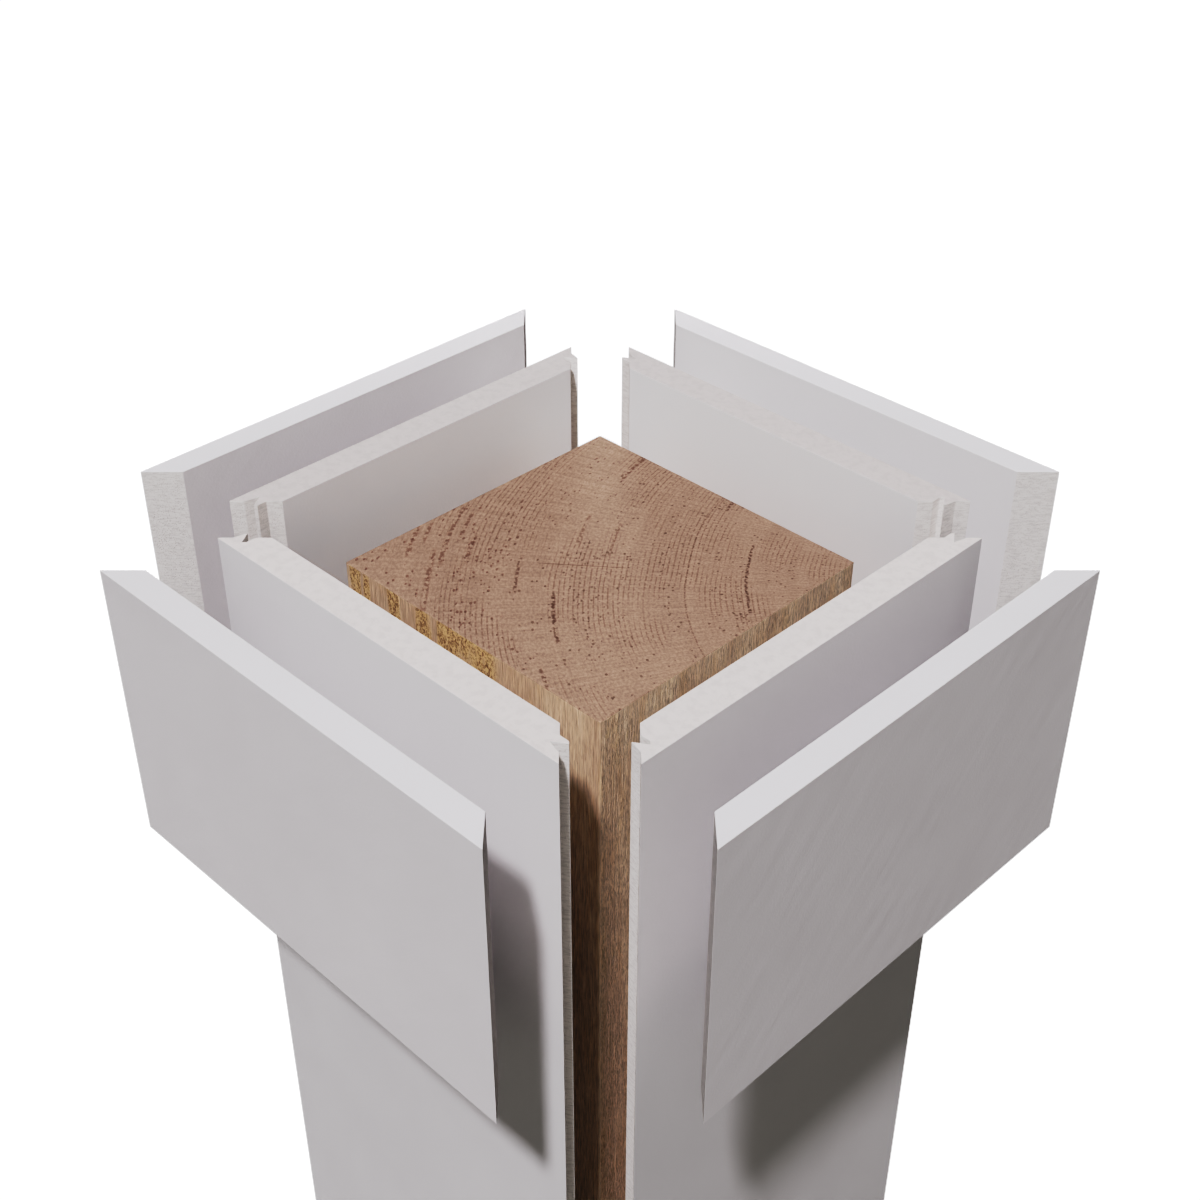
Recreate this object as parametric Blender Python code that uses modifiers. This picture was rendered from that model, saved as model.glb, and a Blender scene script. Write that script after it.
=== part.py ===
"""A porch column wrap round a square timber post, with its pieces standing apart.

Four cellular PVC panels with lock mitre edges close round the post, and four trim boards
with mitred ends go round the tops of the panels. Each spread is how far a ring of boards
stands out from its closed place: at a spread of zero that ring is closed.

The column stands on z = 0 with its axis on z. Each board is drawn as the front one,
which faces -Y, and is turned about z to its own side.
"""

import math

import bpy
from mathutils import Matrix, Vector

# Sizes in metres
COLUMN_LENGTH = 1.0

POST_WIDTH = 0.1535
POST_TOP_DROP = 0.0216
POST_ARRIS = 0.0008

WRAP_WIDTH = 0.2032
PANEL_THICKNESS = 0.015875
PANEL_SPREAD = 0.0199

TRIM_THICKNESS = 0.013
TRIM_HEIGHT = 0.138
TRIM_SPREAD = 0.0539
TRIM_ARRIS = 0.0002

# The gap that is left between two pieces where they touch in the closed wrap
CLEARANCE = 0.0003

# The lock cut in each mitre, measured along the mitre from its middle and square to it
LOCK_SPAN = 0.0095
LOCK_REACH = 0.0034
LOCK_TIP_WIDTH = 0.0017
LOCK_SHOULDER_OFFSET = 0.0004
LOCK_SHOULDER_LEAN = 0.0014

SIDES = ("front", "right", "back", "left")


def empty_the_scene():
    for thing in list(bpy.context.scene.objects):
        bpy.data.objects.remove(thing, do_unlink=True)


def make_material(name, colour, roughness):
    material = bpy.data.materials.new(name)
    material.use_nodes = True
    shader = material.node_tree.nodes["Principled BSDF"]
    shader.inputs["Base Color"].default_value = (*colour, 1.0)
    shader.inputs["Roughness"].default_value = roughness
    shader.inputs["Metallic"].default_value = 0.0
    material.diffuse_color = (*colour, 1.0)
    return material


def upright_prism(name, outline, bottom, top):
    """A flat outline in plan, made as thick as the height from bottom to top."""
    curve = bpy.data.curves.new(name, "CURVE")
    curve.dimensions = "2D"
    curve.fill_mode = "BOTH"
    curve.extrude = (top - bottom) / 2
    spline = curve.splines.new("POLY")
    spline.points.add(len(outline) - 1)
    for point, place in zip(spline.points, outline):
        point.co = (place.x, place.y, 0.0, 1.0)
    spline.use_cyclic_u = True
    prism = bpy.data.objects.new(name, curve)
    prism.location.z = (top + bottom) / 2
    weld = prism.modifiers.new("Weld", "WELD")
    weld.merge_threshold = 0.00001
    return prism


def ease_arrises(board, width):
    bevel = board.modifiers.new("Eased arrises", "BEVEL")
    bevel.width = width
    bevel.segments = 2
    bevel.limit_method = "ANGLE"


def lock_line():
    """The line where two mitres meet, from the outer corner to the inner one.

    Each point is how far along the mitre it lies, and how far it stands over into the
    panel whose end comes second on the way round.
    """
    mitre = PANEL_THICKNESS * math.sqrt(2)
    middle = mitre / 2
    shoulder = middle + LOCK_SHOULDER_OFFSET
    lean = LOCK_SHOULDER_LEAN / 2
    return (
        (0.0, 0.0),
        (middle - LOCK_SPAN / 2, 0.0),
        (shoulder + lean, LOCK_REACH),
        (shoulder - lean, -LOCK_REACH),
        (shoulder - lean + LOCK_TIP_WIDTH, -LOCK_REACH),
        (middle + LOCK_SPAN / 2, 0.0),
        (mitre, 0.0),
    )


def place_lock(corner, inward, across):
    return [corner + along * inward + over * across for along, over in lock_line()]


def drawn_back(outline, gaps):
    """The outline with each of its edges moved in by its own gap. It runs anticlockwise."""
    edges = []
    for start, end, gap in zip(outline, outline[1:] + outline[:1], gaps):
        direction = (end - start).normalized()
        edges.append((start + gap * Vector((-direction.y, direction.x)), direction))
    corners = []
    for (before, way_in), (after, way_out) in zip(edges[-1:] + edges[:-1], edges):
        turn = way_in.cross(way_out)
        reach = (after - before).cross(way_out) / turn
        corners.append(before + reach * way_in)
    return corners


def panel_outline():
    """The front panel in plan: a groove and hooked tongue are cut in both its mitres."""
    half = WRAP_WIDTH / 2
    diagonal = math.sqrt(0.5)
    left_end = place_lock(
        Vector((-half, -half)),
        inward=Vector((diagonal, diagonal)),
        across=Vector((-diagonal, diagonal)),
    )
    right_end = place_lock(
        Vector((half, -half)),
        inward=Vector((-diagonal, diagonal)),
        across=Vector((-diagonal, -diagonal)),
    )
    mitre_gap = CLEARANCE / 2
    lock_edges = len(left_end) - 1
    outline = right_end + left_end[::-1]
    gaps = [mitre_gap] * lock_edges + [0.0] + [mitre_gap] * lock_edges + [0.0]
    return drawn_back(outline, gaps)


def trim_outline():
    """The front trim board in plan: its ends are plain mitres."""
    inner = WRAP_WIDTH / 2 + CLEARANCE
    outer = inner + TRIM_THICKNESS
    outline = [
        Vector((outer, -outer)),
        Vector((inner, -inner)),
        Vector((-inner, -inner)),
        Vector((-outer, -outer)),
    ]
    mitre_gap = CLEARANCE / 2
    return drawn_back(outline, [mitre_gap, 0.0, mitre_gap, 0.0])


def turn_to_side(board, quarter, spread):
    """Takes a front board out by its spread and round to its own side."""
    turn = Matrix.Rotation(quarter * math.pi / 2, 4, "Z")
    out = turn @ Vector((0.0, -spread, board.location.z))
    board.location = out
    board.rotation_euler.z = quarter * math.pi / 2


def make_post():
    height = COLUMN_LENGTH - POST_TOP_DROP
    bpy.ops.mesh.primitive_cube_add(size=1.0, location=(0.0, 0.0, height / 2))
    post = bpy.context.object
    post.name = "wood_post"
    post.dimensions = (POST_WIDTH, POST_WIDTH, height)
    bpy.ops.object.transform_apply(location=False, rotation=False, scale=True)
    for collection in list(post.users_collection):
        collection.objects.unlink(post)
    ease_arrises(post, POST_ARRIS)
    return post


def make_panel(side):
    return upright_prism(f"{side}_panel", panel_outline(), 0.0, COLUMN_LENGTH)


def make_trim_board(side):
    bottom = COLUMN_LENGTH - TRIM_HEIGHT
    board = upright_prism(f"{side}_trim_board", trim_outline(), bottom, COLUMN_LENGTH)
    ease_arrises(board, TRIM_ARRIS)
    return board


def build():
    empty_the_scene()
    parts = bpy.data.collections.new("porch_column_wrap")
    bpy.context.scene.collection.children.link(parts)
    rough_timber = make_material("rough_timber", (0.41, 0.26, 0.16), 0.85)
    panel_pvc = make_material("panel_pvc", (0.76, 0.74, 0.735), 0.5)
    trim_pvc = make_material("trim_pvc", (0.78, 0.76, 0.775), 0.5)

    post = make_post()
    post.data.materials.append(rough_timber)
    parts.objects.link(post)
    for quarter, side in enumerate(SIDES):
        panel = make_panel(side)
        panel.data.materials.append(panel_pvc)
        turn_to_side(panel, quarter, PANEL_SPREAD)
        parts.objects.link(panel)
        board = make_trim_board(side)
        board.data.materials.append(trim_pvc)
        turn_to_side(board, quarter, TRIM_SPREAD)
        parts.objects.link(board)


build()
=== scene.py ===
import math

import bmesh
import bpy
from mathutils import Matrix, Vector, noise


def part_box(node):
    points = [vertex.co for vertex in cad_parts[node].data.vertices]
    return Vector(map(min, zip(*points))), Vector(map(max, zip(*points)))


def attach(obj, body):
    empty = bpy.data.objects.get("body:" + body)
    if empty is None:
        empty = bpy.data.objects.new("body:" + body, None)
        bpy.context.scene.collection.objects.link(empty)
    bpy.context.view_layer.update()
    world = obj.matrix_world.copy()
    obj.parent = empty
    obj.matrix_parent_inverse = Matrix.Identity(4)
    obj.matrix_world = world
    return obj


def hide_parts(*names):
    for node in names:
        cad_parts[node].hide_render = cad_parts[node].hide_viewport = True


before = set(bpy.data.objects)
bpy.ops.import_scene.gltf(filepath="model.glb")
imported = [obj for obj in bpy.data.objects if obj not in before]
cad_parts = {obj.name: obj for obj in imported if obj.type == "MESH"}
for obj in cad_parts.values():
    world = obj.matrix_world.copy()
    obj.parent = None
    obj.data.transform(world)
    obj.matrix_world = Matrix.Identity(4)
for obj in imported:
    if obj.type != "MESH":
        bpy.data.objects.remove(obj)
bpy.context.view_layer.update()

# The photo's view, in metres and degrees
CAMERA_PLACE = (0.4406, -0.4406, 1.3957)
CAMERA_LENS = 52.854
LOOKS_DOWN = 35.05
LOOKS_ROUND = 45.0

# Lights. The key's direction comes from the shadows that the trim boards cast
KEY_FROM = (0.504, -1.0, 1.97)
KEY_STRENGTH = 2.52
KEY_COLOUR = (0.955, 0.940, 0.985)
KEY_ANGLE = 4.4
FILL_FROM = (1.0, -1.0, 0.45)
FILL_STRENGTH = 0.57
FILL_COLOUR = (1.0, 0.98, 0.92)
FILL_ANGLE = 70.0
BACK_FROM = (-1.0, 0.95, 0.12)
BACK_STRENGTH = 1.6
BACK_COLOUR = (1.0, 0.98, 0.97)
BACK_ANGLE = 14.0
SKY_ABOVE = (0.012, 0.012, 0.012)
SKY_BELOW = (0.012, 0.009, 0.006)

# How bright a light level is shown. It holds the pale tops below the white surroundings
TONES = (
    (0.0, 0.0),
    (0.03, 0.011),
    (0.06, 0.034),
    (0.10, 0.076),
    (0.17, 0.190),
    (0.25, 0.335),
    (0.39, 0.515),
    (0.55, 0.610),
    (0.79, 0.698),
    (1.0, 0.790),
    (1.3, 1.0),
)

SIDES = {
    "front": Vector((0, -1, 0)),
    "right": Vector((1, 0, 0)),
    "back": Vector((0, 1, 0)),
    "left": Vector((-1, 0, 0)),
}
PANEL_ARRIS = 0.0002
POST_ARRIS = 0.0008

# How finely the post's mesh is cut: steps and zones in metres, rows as counts
EDGE_ZONE = 0.012
EDGE_STEP = 0.0006
FLAT_STEP = 0.0022
TOP_ZONE = 0.05
ARRIS_ROWS = 5
TOP_ROWS = 30
LOW_ROWS = 120

# How deep the raised fibre, the saw's marks and the nicked arrises of the post are
FIBRE_DEPTH = 0.00010
SAW_DEPTH = 0.00008
NICK_DEPTH = 0.0005

# The log's middle, from which the growth rings of the post spread, in plan. An arc along a
# ring is measured at RING_ARC from it
PITH = (0.155, 0.121)
RING_ARC = 0.2
RING_PITCH = 0.0021
RING_WANDER = 0.0016

# The wood grows redder and more open from the first of these radii to the second
OUTER_WOOD = (0.205, 0.255)

# A drying check on the post's top: its bearing in degrees, and the radii over which it
# opens and closes
CHECK_BEARING = 39.0
CHECK_OPENS = (0.184, 0.188)
CHECK_CLOSES = (0.220, 0.224)

# Ring marks on the post's top: radius, first and last bearing, half width, how dark, how
# red. A mark's ends fade over MARK_FADE degrees to either side
RING_MARKS = (
    (0.1345, 29.0, 51.0, 0.0006, 0.85, 0.1),
    (0.1540, 16.0, 20.0, 0.0007, 0.8, 0.2),
    (0.1595, 13.0, 64.0, 0.0003, 0.5, 0.1),
    (0.1940, 29.0, 36.5, 0.0006, 0.45, 0.2),
    (0.2060, 12.5, 19.0, 0.0009, 0.6, 0.6),
    (0.2085, 28.0, 34.5, 0.0007, 0.45, 0.2),
    (0.2145, 45.0, 54.0, 0.0008, 0.85, 0.2),
    (0.2245, 58.0, 61.5, 0.0006, 0.7, 0.2),
    (0.2305, 38.0, 44.5, 0.0007, 0.7, 0.2),
    (0.2530, 35.0, 39.5, 0.0010, 0.6, 0.6),
    (0.2590, 31.0, 36.0, 0.0008, 0.5, 0.6),
    (0.2640, 30.0, 40.0, 0.0009, 0.5, 0.6),
    (0.2680, 38.0, 47.5, 0.0011, 0.45, 0.7),
    (0.2740, 33.5, 36.5, 0.0008, 0.45, 0.8),
    (0.2790, 33.0, 39.0, 0.0011, 0.45, 0.8),
)
MARK_FADE = 0.6

# Where the honey-coloured bands lie across the front of the post, and how softly each
# ends. BAND_EDGE is how softly they begin, and BAND_WANDER how far they stray sideways
GOLDEN_BANDS = (
    (-0.0740, -0.0670, 0.0008),
    (-0.0650, -0.0612, 0.0008),
    (-0.0487, -0.0414, 0.0008),
    (-0.0310, -0.0215, 0.0010),
    (-0.0174, 0.0175, 0.0040),
)
BAND_EDGE = 0.0006
BAND_WANDER = 0.0012

# Depths under the post's faces between which one face's grain gives way to the next one's
TURN_DEPTHS = (0.00045, 0.00005)
BAND_DEPTHS = (0.00125, 0.00045)

# The heights between which the post's turned sides go from painted shade to painted light: darker
# low down, lighter towards the top, where the light falls
PAINTED_LIGHT_HEIGHTS = (0.64, 1.0)

# Wood colours
END_DARK = (0.352, 0.249, 0.187)
END_PALE = (0.385, 0.273, 0.206)
RING_LINE = (0.150, 0.085, 0.058)
VESSEL = (0.115, 0.064, 0.045)
OUTER_VESSEL = (0.165, 0.070, 0.050)
MARK = (0.095, 0.045, 0.030)
RED_MARK = (0.180, 0.078, 0.054)
CHECK = (0.085, 0.040, 0.024)
SIDE_DARK = (0.620, 0.462, 0.342)
SIDE_PALE = (0.720, 0.555, 0.413)
HONEY = (0.620, 0.430, 0.270)
DARK_FLECK = (0.240, 0.150, 0.092)
GILT_FLECK = (0.730, 0.540, 0.320)
DARK_CURL = (0.280, 0.165, 0.080)
PALE_CURL = (0.800, 0.580, 0.330)

# What the wood's colour is multiplied by: on the front and back, and on the other two
# sides, darkened by painted shade lower down and lightened by painted light near the top
FRONT_TINT = (0.99, 0.98, 0.98)
PAINTED_SHADE_TINT = (0.84, 0.78, 0.76)
PAINTED_LIGHT_TINT = (1.12, 1.22, 1.30)

# PVC colours. The far panels' ends are duller than the near ones'
PANEL_SKIN = (0.835, 0.815, 0.820)
PANEL_BACK = (0.895, 0.885, 0.895)
TRIM_SKIN = (0.890, 0.860, 0.867)
# The trims' tops and undersides are paler than their faces: painted light, standing in for the
# light that falls on the tops
TRIM_TOP = (0.960, 0.935, 0.960)
MITRE_CUT = (0.850, 0.812, 0.786)
NEAR_END = (0.866, 0.783, 0.744)
FAR_END = (0.668, 0.600, 0.575)

# The pale surroundings
FLOOR_RADIUS = 14.0
BACKDROP_RADIUS = 13.9
SURROUND_GLOW = 1.32

# Where a colour Mix node has its two colours and its result
MIX_FIRST = 6
MIX_SECOND = 7
MIX_RESULT = 2


class Paint:
    """A material's nodes. A value is a number, a colour or another node's output."""

    def __init__(self, name):
        self.material = bpy.data.materials.new(name)
        self.material.use_nodes = True
        self.tree = self.material.node_tree
        self.surface = self.tree.nodes["Principled BSDF"]

    def feed(self, socket, value):
        if isinstance(value, bpy.types.NodeSocket):
            self.tree.links.new(value, socket)
        else:
            socket.default_value = value

    def add(self, kind, values, **settings):
        node = self.tree.nodes.new("ShaderNode" + kind)
        for name, setting in settings.items():
            setattr(node, name, setting)
        for place, value in values.items():
            self.feed(node.inputs[place], value)
        return node

    def set(self, name, value):
        self.feed(self.surface.inputs[name], value)

    def place(self):
        return self.add("TexCoord", {}).outputs["Object"]

    def split(self, vector):
        return self.add("SeparateXYZ", {0: vector}).outputs

    def join(self, x=0.0, y=0.0, z=0.0):
        return self.add("CombineXYZ", {0: x, 1: y, 2: z}).outputs[0]

    def stretch(self, vector, x=1.0, y=1.0, z=1.0):
        return self.add("VectorMath", {0: vector, 1: (x, y, z)}, operation="MULTIPLY").outputs[0]

    def maths(self, operation, first, second=0.0, third=0.0):
        return self.add("Math", {0: first, 1: second, 2: third}, operation=operation).outputs[0]

    def times(self, *values):
        product = values[0]
        for value in values[1:]:
            product = self.maths("MULTIPLY", product, value)
        return product

    def noise(self, vector, scale, detail=2.0, roughness=0.5, distortion=0.0):
        values = {"Vector": vector, "Scale": scale, "Detail": detail}
        values |= {"Roughness": roughness, "Distortion": distortion}
        return self.add("TexNoise", values).outputs[0]

    def cells(self, vector, scale, randomness=1.0):
        values = {"Vector": vector, "Scale": scale, "Randomness": randomness}
        return self.add("TexVoronoi", values).outputs

    def ease(self, value, start, end, low=0.0, high=1.0):
        values = {0: value, 1: start, 2: end, 3: low, 4: high}
        return self.add("MapRange", values, interpolation_type="SMOOTHSTEP").outputs[0]

    def colour(self, value):
        return (*value, 1.0) if isinstance(value, tuple) else value

    def blend(self, amount, first, second, how="MIX"):
        colours = {MIX_FIRST: self.colour(first), MIX_SECOND: self.colour(second)}
        mix = self.add("Mix", {0: amount} | colours, data_type="RGBA", blend_type=how)
        return mix.outputs[MIX_RESULT]

    def shade(self, colour, value, low, high):
        """The colour made darker or lighter, from low at value 0 to high at value 1."""
        factor = self.ease(value, 0.0, 1.0, low, high)
        return self.blend(1.0, colour, self.join(factor, factor, factor), "MULTIPLY")

    def relief(self, height, depth, under=None):
        values = {"Height": height, "Distance": depth, "Strength": 1.0}
        if under is not None:
            values["Normal"] = under
        return self.add("Bump", values).outputs[0]


def pvc_skin(name, colour, scuffs):
    """The smooth outer skin of a PVC board, with the faint drag marks of its die."""
    paint = Paint(name)
    place = paint.place()
    cloudy = paint.noise(place, 11.0, 3.0)
    colour = paint.shade(colour, cloudy, 0.975, 1.02)
    paint.set("Base Color", colour)
    rubbed = paint.noise(place, 45.0, 4.0)
    paint.set("Roughness", paint.ease(rubbed, 0.3, 0.7, 0.42, 0.54))
    paint.set("IOR", 1.46)
    x, y, z = paint.split(place)
    along = paint.maths("ADD", x, y)
    slanted = paint.join(paint.maths("ADD", along, z), paint.maths("SUBTRACT", along, z), 0.0)
    drag = paint.noise(paint.stretch(slanted, 26.0, 90.0), 1.0, 3.0)
    soft = paint.relief(drag, 0.00015 * scuffs)
    paint.set("Normal", paint.relief(paint.noise(place, 900.0, 2.0), 0.00006, soft))
    return paint.material


def pvc_cut(name, colour, pore_depth, darkest):
    """PVC foam laid open by a saw: closed cells and fine marks across the board."""
    paint = Paint(name)
    place = paint.place()
    cells = paint.cells(place, 1500.0)["Distance"]
    pores = paint.ease(cells, 0.08, 0.34)
    blotches = paint.noise(place, 160.0, 4.0, 0.6)
    streaks = paint.noise(paint.stretch(place, 260.0, 260.0, 1200.0), 1.0, 2.0, 0.6)
    colour = paint.shade(colour, pores, darkest, 1.0)
    colour = paint.shade(colour, blotches, 0.95, 1.04)
    colour = paint.shade(colour, paint.ease(streaks, 0.30, 0.62), darkest, 1.03)
    paint.set("Base Color", colour)
    paint.set("Roughness", 0.8)
    paint.set("IOR", 1.42)
    sawn = paint.relief(streaks, 0.00012)
    paint.set("Normal", paint.relief(pores, pore_depth, sawn))
    return paint.material


def ring_space(paint, place):
    """The radius from the pith, the bearing about it in degrees and its length as an arc."""
    x, y, _ = paint.split(place)
    wander = paint.noise(place, 14.0, 2.0)
    wander = paint.ease(wander, 0.0, 1.0, -RING_WANDER, RING_WANDER)
    east = paint.maths("SUBTRACT", PITH[0], x)
    north = paint.maths("SUBTRACT", PITH[1], y)
    squares = paint.maths("ADD", paint.times(east, east), paint.times(north, north))
    radius = paint.maths("ADD", paint.maths("SQRT", squares), wander)
    angle = paint.maths("ARCTAN2", north, east)
    return radius, paint.maths("DEGREES", angle), paint.times(angle, RING_ARC)


def ring_mark(paint, radius, bearing, breaks, mark):
    """A row of open vessels that follows one ring for part of its way round."""
    at, first, last, width, dark, _ = mark
    off = paint.maths("ABSOLUTE", paint.maths("SUBTRACT", radius, at))
    near = paint.ease(off, width * 1.6, width * 0.4)
    begun = paint.ease(bearing, first - MARK_FADE, first + MARK_FADE)
    ended = paint.ease(bearing, last + MARK_FADE, last - MARK_FADE)
    return paint.times(near, begun, ended, breaks, dark)


def ring_marks(paint, ringed, radius, bearing):
    """The placed rows of vessels: how dark they are, and how red."""
    breaks = paint.noise(paint.stretch(ringed, 520.0, 560.0), 1.0, 1.0)
    breaks = paint.ease(breaks, 0.42, 0.56)
    marks = 0.0
    reds = 0.0
    for mark in RING_MARKS:
        row = ring_mark(paint, radius, bearing, breaks, mark)
        marks = paint.maths("MAXIMUM", marks, row)
        reds = paint.maths("MAXIMUM", reds, paint.times(row, mark[-1]))
    return marks, reds


def ring_lines(paint, ringed, radius):
    """Fine dark lines, a ring's pitch apart, that come and go over the post's top."""
    wave = paint.times(radius, math.tau / RING_PITCH)
    shift = paint.noise(paint.stretch(ringed, 60.0, 12.0), 1.0, 1.0)
    shift = paint.ease(shift, 0.0, 1.0, -4.0, 4.0)
    bands = paint.maths("SINE", paint.maths("ADD", wave, shift))
    here = paint.noise(paint.stretch(ringed, 34.0, 17.0), 1.0, 2.0)
    lines = paint.times(paint.ease(bands, 0.25, 0.95), paint.ease(here, 0.40, 0.58))
    crumbs = paint.noise(paint.stretch(ringed, 300.0, 520.0), 1.0, 1.0)
    return paint.times(lines, paint.ease(crumbs, 0.34, 0.56))


def vessel_dots(paint, ringed, outer):
    """Open vessels as dots, in crowded and sparse rings."""
    vessels = paint.cells(paint.stretch(ringed, 560.0, 400.0), 1.0)
    chance = paint.split(vessels["Color"])[0]
    rows = paint.noise(paint.stretch(ringed, 120.0, 9.0), 1.0, 1.0)
    crowd = paint.ease(rows, 0.46, 0.66, 0.08, 0.60)
    crowd = paint.maths("MULTIPLY_ADD", outer, 0.13, crowd)
    some = paint.ease(paint.maths("SUBTRACT", chance, crowd), 0.04, -0.04)
    size = paint.ease(paint.split(vessels["Color"])[1], 0.0, 1.0, 0.20, 0.34)
    dots = paint.ease(paint.maths("SUBTRACT", vessels["Distance"], size), 0.05, -0.08)
    return paint.times(dots, some)


def drying_check(paint, radius, bearing):
    """A short, fine crack that runs straight away from the pith."""
    off = paint.maths("ABSOLUTE", paint.maths("SUBTRACT", bearing, CHECK_BEARING))
    opened = paint.ease(radius, *CHECK_OPENS)
    closed = paint.ease(radius, *reversed(CHECK_CLOSES))
    return paint.times(paint.ease(off, 0.10, 0.03), opened, closed)


def end_grain():
    """The post's sawn top: rings, vessels and rays round the pith."""
    paint = Paint("post_end_grain")
    place = paint.place()
    radius, bearing, arc = ring_space(paint, place)
    ringed = paint.join(radius, arc, 0.0)
    outer = paint.ease(radius, *OUTER_WOOD)

    tone = paint.noise(place, 22.0, 3.0)
    colour = paint.blend(tone, END_DARK, END_PALE)
    rings = paint.noise(paint.stretch(ringed, 170.0, 5.0), 1.0, 3.0, 0.6)
    colour = paint.shade(colour, rings, 0.90, 1.10)
    weave = paint.noise(paint.stretch(ringed, 900.0, 620.0), 1.0, 2.0, 0.7)
    colour = paint.shade(colour, paint.ease(weave, 0.34, 0.66), 0.87, 1.11)
    rays = paint.noise(paint.stretch(ringed, 34.0, 760.0), 1.0, 2.0)
    colour = paint.shade(colour, paint.ease(rays, 0.30, 0.70), 0.92, 1.06)

    lines = ring_lines(paint, ringed, radius)
    colour = paint.blend(paint.times(lines, 0.55), colour, RING_LINE)
    dots = vessel_dots(paint, ringed, outer)
    vessel_colour = paint.blend(outer, VESSEL, OUTER_VESSEL)
    colour = paint.blend(paint.times(dots, 0.62), colour, vessel_colour)
    marks, reds = ring_marks(paint, ringed, radius, bearing)
    colour = paint.blend(marks, colour, MARK)
    colour = paint.blend(reds, colour, RED_MARK)
    check = drying_check(paint, radius, bearing)
    colour = paint.blend(paint.times(check, 0.6), colour, CHECK)

    paint.set("Base Color", colour)
    paint.set("Roughness", 0.85)
    paint.set("IOR", 1.40)
    pits = paint.maths("SUBTRACT", 1.0, paint.maths("MAXIMUM", dots, marks))
    fuzz = paint.relief(weave, 0.00025)
    paint.set("Normal", paint.relief(pits, 0.0003, fuzz))
    return paint.material


def near_face(paint, out, half, depths):
    """0 where a place lies deeper under the post's face than the first depth, 1 at the second."""
    first, second = depths
    return paint.ease(out, half - first, half - second)


def golden_bands(paint, x, z):
    """Bands of curly, honey-coloured wood that run down the post."""
    wander = paint.noise(paint.join(paint.times(x, 90.0), 0.0, paint.times(z, 40.0)), 1.0, 2.0)
    across = paint.maths("ADD", x, paint.ease(wander, 0.0, 1.0, -BAND_WANDER, BAND_WANDER))
    bands = 0.0
    for first, last, soft in GOLDEN_BANDS:
        begun = paint.ease(across, first - BAND_EDGE, first + BAND_EDGE)
        ended = paint.ease(across, last + soft, last - soft)
        bands = paint.maths("MAXIMUM", bands, paint.times(begun, ended))
    patches = paint.noise(paint.stretch(paint.join(x, 0.0, z), 160.0, 1.0, 70.0), 1.0, 2.0)
    return paint.times(bands, paint.ease(patches, 0.30, 0.50, 0.45, 0.95))


def grain_fibre(paint, place, turned):
    """Raised fibre: straight on the front and back, and curled on the turned sides."""
    straight = paint.noise(paint.stretch(place, 1.0, 1.0, 0.07), 1450.0, 2.0, 0.6, 0.3)
    curled = paint.noise(paint.stretch(place, 1.0, 1.0, 0.21), 1400.0, 2.0, 0.6, 0.9)
    return paint.maths("MULTIPLY_ADD", paint.maths("SUBTRACT", curled, straight), turned, straight)


def add_flecks(paint, colour, place, turned):
    """Short dark and gilt flecks, stronger on the turned sides."""
    flecks = paint.noise(paint.stretch(place, 1.0, 1.0, 0.18), 1200.0, 1.0, 0.5, 0.8)
    dark = paint.times(paint.ease(flecks, 0.60, 0.68), paint.ease(turned, 0.0, 1.0, 0.20, 0.34))
    colour = paint.blend(dark, colour, DARK_FLECK)
    gilt = paint.times(paint.ease(flecks, 0.42, 0.34), paint.ease(turned, 0.0, 1.0, 0.12, 0.32))
    return paint.blend(gilt, colour, GILT_FLECK)


def long_grain(half):
    """The rough-sawn sides of a post of this half width, with the grain running up it."""
    paint = Paint("post_long_grain")
    place = paint.place()
    x, y, z = paint.split(place)
    turned = near_face(paint, paint.maths("ABSOLUTE", x), half, TURN_DEPTHS)

    broad = paint.noise(paint.stretch(place, 1.0, 1.0, 0.10), 75.0, 3.0)
    colour = paint.blend(paint.ease(broad, 0.35, 0.65), SIDE_DARK, SIDE_PALE)
    honey = paint.noise(paint.stretch(place, 1.0, 1.0, 0.16), 190.0, 2.0)
    honey = paint.times(paint.ease(honey, 0.50, 0.66), 0.4)
    colour = paint.blend(honey, colour, HONEY)

    hair = paint.noise(paint.stretch(place, 1.0, 1.0, 0.022), 1700.0, 2.0, 0.6)
    colour = paint.shade(colour, paint.ease(hair, 0.32, 0.68), 0.88, 1.08)
    fibre = grain_fibre(paint, place, turned)
    contrast = paint.ease(turned, 0.0, 1.0, 0.35, 0.62)
    fibre_tone = paint.maths("SUBTRACT", paint.ease(fibre, 0.34, 0.66), 0.5)
    fibre_tone = paint.maths("MULTIPLY_ADD", fibre_tone, contrast, 0.5)
    colour = paint.shade(colour, fibre_tone, 0.66, 1.34)
    colour = add_flecks(paint, colour, place, turned)

    # Painted light and shade on the turned sides: lighter near the top, darker lower down
    painted_light_height = paint.ease(z, *PAINTED_LIGHT_HEIGHTS)
    tint = paint.blend(painted_light_height, PAINTED_SHADE_TINT, PAINTED_LIGHT_TINT)
    tint = paint.blend(turned, FRONT_TINT, tint)
    colour = paint.blend(1.0, colour, tint, "MULTIPLY")

    on_front = near_face(paint, paint.maths("MULTIPLY", y, -1.0), half, BAND_DEPTHS)
    golden = paint.times(golden_bands(paint, x, z), on_front)
    curly = paint.noise(paint.stretch(place, 1.0, 1.0, 0.60), 1050.0, 2.0, 0.6, 1.0)
    curls = paint.blend(paint.ease(curly, 0.36, 0.58), DARK_CURL, PALE_CURL)
    colour = paint.blend(golden, colour, curls)

    paint.set("Base Color", colour)
    paint.set("Roughness", 0.85)
    paint.set("IOR", 1.40)
    ridges = paint.maths("ADD", fibre, paint.times(golden, curly))
    fine = paint.relief(hair, 0.0003)
    paint.set("Normal", paint.relief(ridges, 0.0007, fine))
    return paint.material


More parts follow.
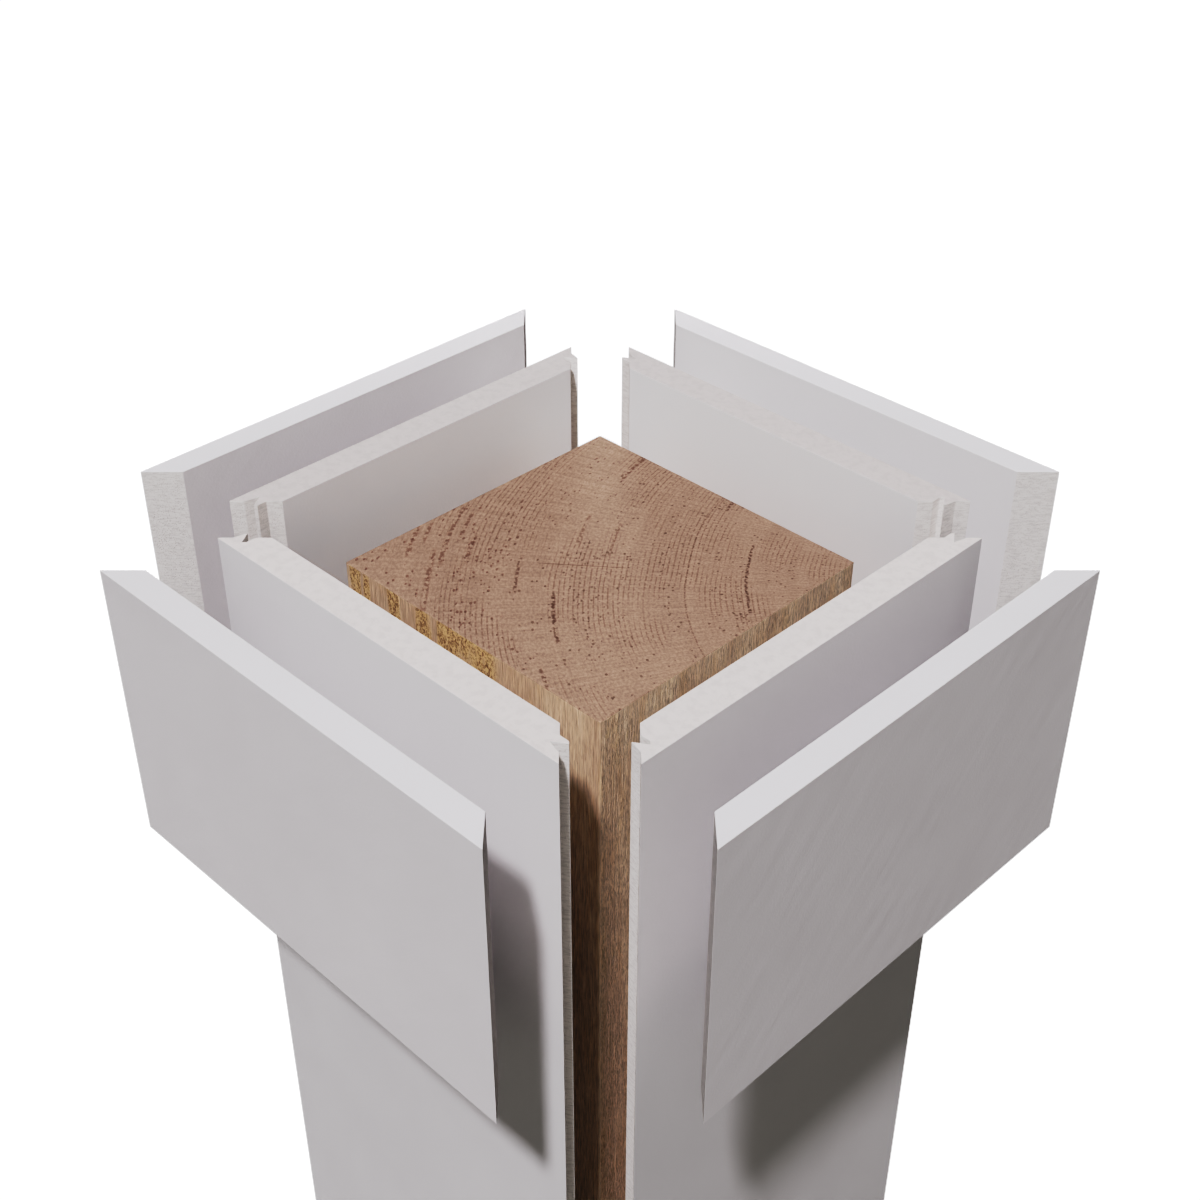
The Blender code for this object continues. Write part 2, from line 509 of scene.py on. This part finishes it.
def plain_floor():
    paint = Paint("floor")
    paint.set("Base Color", (0.04, 0.04, 0.04, 1.0))
    paint.set("Roughness", 0.9)
    paint.set("Specular IOR Level", 0.0)
    paint.set("Emission Color", (1.0, 1.0, 1.0, 1.0))
    paint.set("Emission Strength", SURROUND_GLOW)
    return paint.material


def spread_out(half, margin, fine, coarse):
    """Places from -half to half, close together within the margin at each end."""
    near = round(margin / fine)
    far = round(2 * (half - margin) / coarse)
    places = [-half + margin * i / near for i in range(near)]
    places += [-half + margin + 2 * (half - margin) * i / far for i in range(far)]
    return places + [half - margin + margin * i / near for i in range(near + 1)]


def weathered(point, half, top, arris):
    """A point of the sharp box, moved in to the rounded, rough-sawn surface."""
    inner = Vector(
        (
            max(-half + arris, min(half - arris, point.x)),
            max(-half + arris, min(half - arris, point.y)),
            max(arris, min(top - arris, point.z)),
        )
    )
    out = point - inner
    if out.length == 0:
        return point
    out.normalize()
    fibre = noise.noise(Vector((point.x * 700, point.y * 700, point.z * 22)))
    saw = noise.noise(Vector((point.x * 70, point.y * 70, point.z * 120)))
    corner = min(abs(out.x), abs(out.y)) * 1.4
    nicks = max(0.0, noise.noise(Vector((point.z * 95, point.x * 9, point.y * 9)))) * corner
    upright = 1.0 - abs(out.z)
    rough = FIBRE_DEPTH * (1 + fibre) + SAW_DEPTH * (1 + saw)
    return inner + out * (arris - rough * upright - NICK_DEPTH * nicks)


def post_mesh(half, top, arris):
    """The post as one closed surface, fine at its arrises and near its top."""
    across = spread_out(half, EDGE_ZONE, EDGE_STEP, FLAT_STEP)
    count = len(across) - 1
    levels = [top - arris * 2 * i / ARRIS_ROWS for i in range(ARRIS_ROWS)]
    shoulder = top - arris * 2
    levels += [shoulder - TOP_ZONE * i / TOP_ROWS for i in range(TOP_ROWS)]
    below = shoulder - TOP_ZONE
    levels += [below * (1 - i / LOW_ROWS) for i in range(LOW_ROWS + 1)]
    ring = [(value, -half) for value in across[:-1]]
    ring += [(half, value) for value in across[:-1]]
    ring += [(-value, half) for value in across[:-1]]
    ring += [(-half, -value) for value in across[:-1]]

    surface = bmesh.new()

    def corner(x, y, z):
        return surface.verts.new(weathered(Vector((x, y, z)), half, top, arris))

    rows = [[corner(x, y, z) for x, y in ring] for z in levels]
    for upper, lower in zip(rows, rows[1:]):
        for i in range(len(ring)):
            following = (i + 1) % len(ring)
            face = surface.faces.new((lower[i], lower[following], upper[following], upper[i]))
            face.normal_update()
            face.material_index = 1 if face.normal.z > 0.3 else 0
    surface.faces.new(list(reversed(rows[-1])))

    rim = {(round(x, 7), round(y, 7)): vert for (x, y), vert in zip(ring, rows[0])}
    cap = {}
    for x in across:
        for y in across:
            key = (round(x, 7), round(y, 7))
            cap[key] = rim.get(key) or corner(x, y, top)
    for i in range(count):
        for j in range(count):
            around = ((i, j), (i + 1, j), (i + 1, j + 1), (i, j + 1))
            verts = [cap[(round(across[a], 7), round(across[b], 7))] for a, b in around]
            surface.faces.new(verts).material_index = 1
    mesh = bpy.data.meshes.new("post_surface")
    surface.to_mesh(mesh)
    surface.free()
    mesh.shade_smooth()
    return mesh


def add_piece(name, mesh, materials, node):
    piece = bpy.data.objects.new(name, mesh)
    bpy.context.scene.collection.objects.link(piece)
    for material in materials:
        mesh.materials.append(material)
    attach(piece, "root")
    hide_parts(node)
    return piece


def add_post():
    low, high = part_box("wood_post")
    mesh = post_mesh(high.x, high.z, POST_ARRIS)
    materials = (long_grain(high.x), end_grain())
    add_piece("sawn_post", mesh, materials, "wood_post")


def board_mesh(node, out, arris):
    """A node's board, its arrises eased. Material 0 is its face, 1 mitre, 2 ends, 3 back."""
    board = bmesh.new()
    board.from_mesh(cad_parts[node].data)
    bmesh.ops.remove_doubles(board, verts=board.verts, dist=0.000002)
    flat = math.radians(0.5)
    bmesh.ops.dissolve_limit(board, angle_limit=flat, verts=board.verts, edges=board.edges)
    if arris:
        sharp = [edge for edge in board.edges if edge.calc_face_angle(0.0) > flat]
        bmesh.ops.bevel(board, geom=sharp, offset=arris, segments=2, profile=0.5, affect="EDGES")
    depths = [vert.co.dot(out) for vert in board.verts]
    for face in board.faces:
        face.normal_update()
        depth = face.calc_center_median().dot(out)
        outward = face.normal.dot(out)
        if abs(face.normal.z) > 0.7:
            face.material_index = 2
        elif outward > 0.9 and max(depths) - depth < 0.0005:
            face.material_index = 0
        elif outward < -0.9 and depth - min(depths) < 0.0005:
            face.material_index = 3
        else:
            face.material_index = 1
    mesh = bpy.data.meshes.new(node + "_board")
    board.to_mesh(mesh)
    board.free()
    return mesh


def add_boards():
    panel_skin = pvc_skin("panel_skin", PANEL_SKIN, scuffs=0.3)
    panel_back = pvc_skin("panel_back", PANEL_BACK, scuffs=0.3)
    trim_skin = pvc_skin("trim_skin", TRIM_SKIN, scuffs=1.0)
    # The trims' tops: a paler copy of their skin, painted light on the lit tops
    trim_top = pvc_skin("trim_top", TRIM_TOP, scuffs=0.5)
    mitre_cut = pvc_cut("mitre_cut", MITRE_CUT, pore_depth=0.00022, darkest=0.88)
    near_end = pvc_cut("panel_end", NEAR_END, pore_depth=0.00005, darkest=0.94)
    far_end = pvc_cut("far_panel_end", FAR_END, pore_depth=0.00005, darkest=0.94)
    for side, out in SIDES.items():
        panel = side + "_panel"
        mesh = board_mesh(panel, out, PANEL_ARRIS)
        panel_end = near_end if side in ("front", "right") else far_end
        materials = (panel_skin, mitre_cut, panel_end, panel_back)
        add_piece(side + "_wrap_panel", mesh, materials, panel)
        board = side + "_trim_board"
        mesh = board_mesh(board, out, 0.0)
        materials = (trim_skin, mitre_cut, trim_top, trim_skin)
        add_piece(side + "_wrap_trim", mesh, materials, board)


def only_seen(stage_piece):
    """Keeps the pale surroundings out of the light that falls on the object."""
    stage_piece.visible_diffuse = False
    stage_piece.visible_glossy = False
    stage_piece.visible_shadow = False


def add_stage():
    pale = plain_floor()
    bpy.ops.mesh.primitive_circle_add(vertices=96, radius=FLOOR_RADIUS, fill_type="NGON")
    floor = bpy.context.object
    floor.name = "floor"
    floor.data.materials.append(pale)
    bpy.ops.mesh.primitive_uv_sphere_add(segments=64, ring_count=32, radius=BACKDROP_RADIUS)
    backdrop = bpy.context.object
    backdrop.name = "backdrop"
    backdrop.data.materials.append(pale)
    only_seen(floor)
    only_seen(backdrop)


def add_sun(name, from_direction, strength, colour, angle):
    light = bpy.data.lights.new(name, "SUN")
    light.energy = strength
    light.color = colour
    light.angle = math.radians(angle)
    sun = bpy.data.objects.new(name, light)
    bpy.context.scene.collection.objects.link(sun)
    sun.rotation_euler = Vector(from_direction).to_track_quat("Z", "Y").to_euler()


def add_lights():
    add_sun("key", KEY_FROM, KEY_STRENGTH, KEY_COLOUR, KEY_ANGLE)
    add_sun("fill", FILL_FROM, FILL_STRENGTH, FILL_COLOUR, FILL_ANGLE)
    add_sun("back", BACK_FROM, BACK_STRENGTH, BACK_COLOUR, BACK_ANGLE)
    world = bpy.data.worlds.new("studio")
    world.use_nodes = True
    nodes = world.node_tree.nodes
    links = world.node_tree.links
    direction = nodes.new("ShaderNodeTexCoord").outputs["Generated"]
    up = nodes.new("ShaderNodeSeparateXYZ")
    links.new(direction, up.inputs[0])
    height = nodes.new("ShaderNodeMapRange")
    height.inputs["From Min"].default_value = -1.0
    links.new(up.outputs["Z"], height.inputs["Value"])
    sky = nodes.new("ShaderNodeMix")
    sky.data_type = "RGBA"
    sky.inputs[MIX_FIRST].default_value = (*SKY_BELOW, 1.0)
    sky.inputs[MIX_SECOND].default_value = (*SKY_ABOVE, 1.0)
    links.new(height.outputs["Result"], sky.inputs[0])
    links.new(sky.outputs[MIX_RESULT], nodes["Background"].inputs["Color"])
    bpy.context.scene.world = world


def add_camera():
    data = bpy.data.cameras.new("photo_view")
    data.lens = CAMERA_LENS
    data.sensor_width = 36.0
    data.clip_start = 0.05
    data.clip_end = 60.0
    camera = bpy.data.objects.new("photo_view", data)
    bpy.context.scene.collection.objects.link(camera)
    camera.location = CAMERA_PLACE
    camera.rotation_euler = (math.radians(90 - LOOKS_DOWN), 0.0, math.radians(LOOKS_ROUND))
    bpy.context.scene.camera = camera


def set_tones():
    view = bpy.context.scene.view_settings
    view.view_transform = "Standard"
    view.use_curve_mapping = True
    mapping = view.curve_mapping
    mapping.use_clip = False
    points = mapping.curves[3].points
    points[0].location = TONES[0]
    points[-1].location = TONES[-1]
    for level, shown in TONES[1:-1]:
        points.new(level, shown)
    for point in points:
        point.handle_type = "AUTO_CLAMPED"
    mapping.update()


add_camera()
set_tones()
add_boards()
add_post()
add_stage()
add_lights()
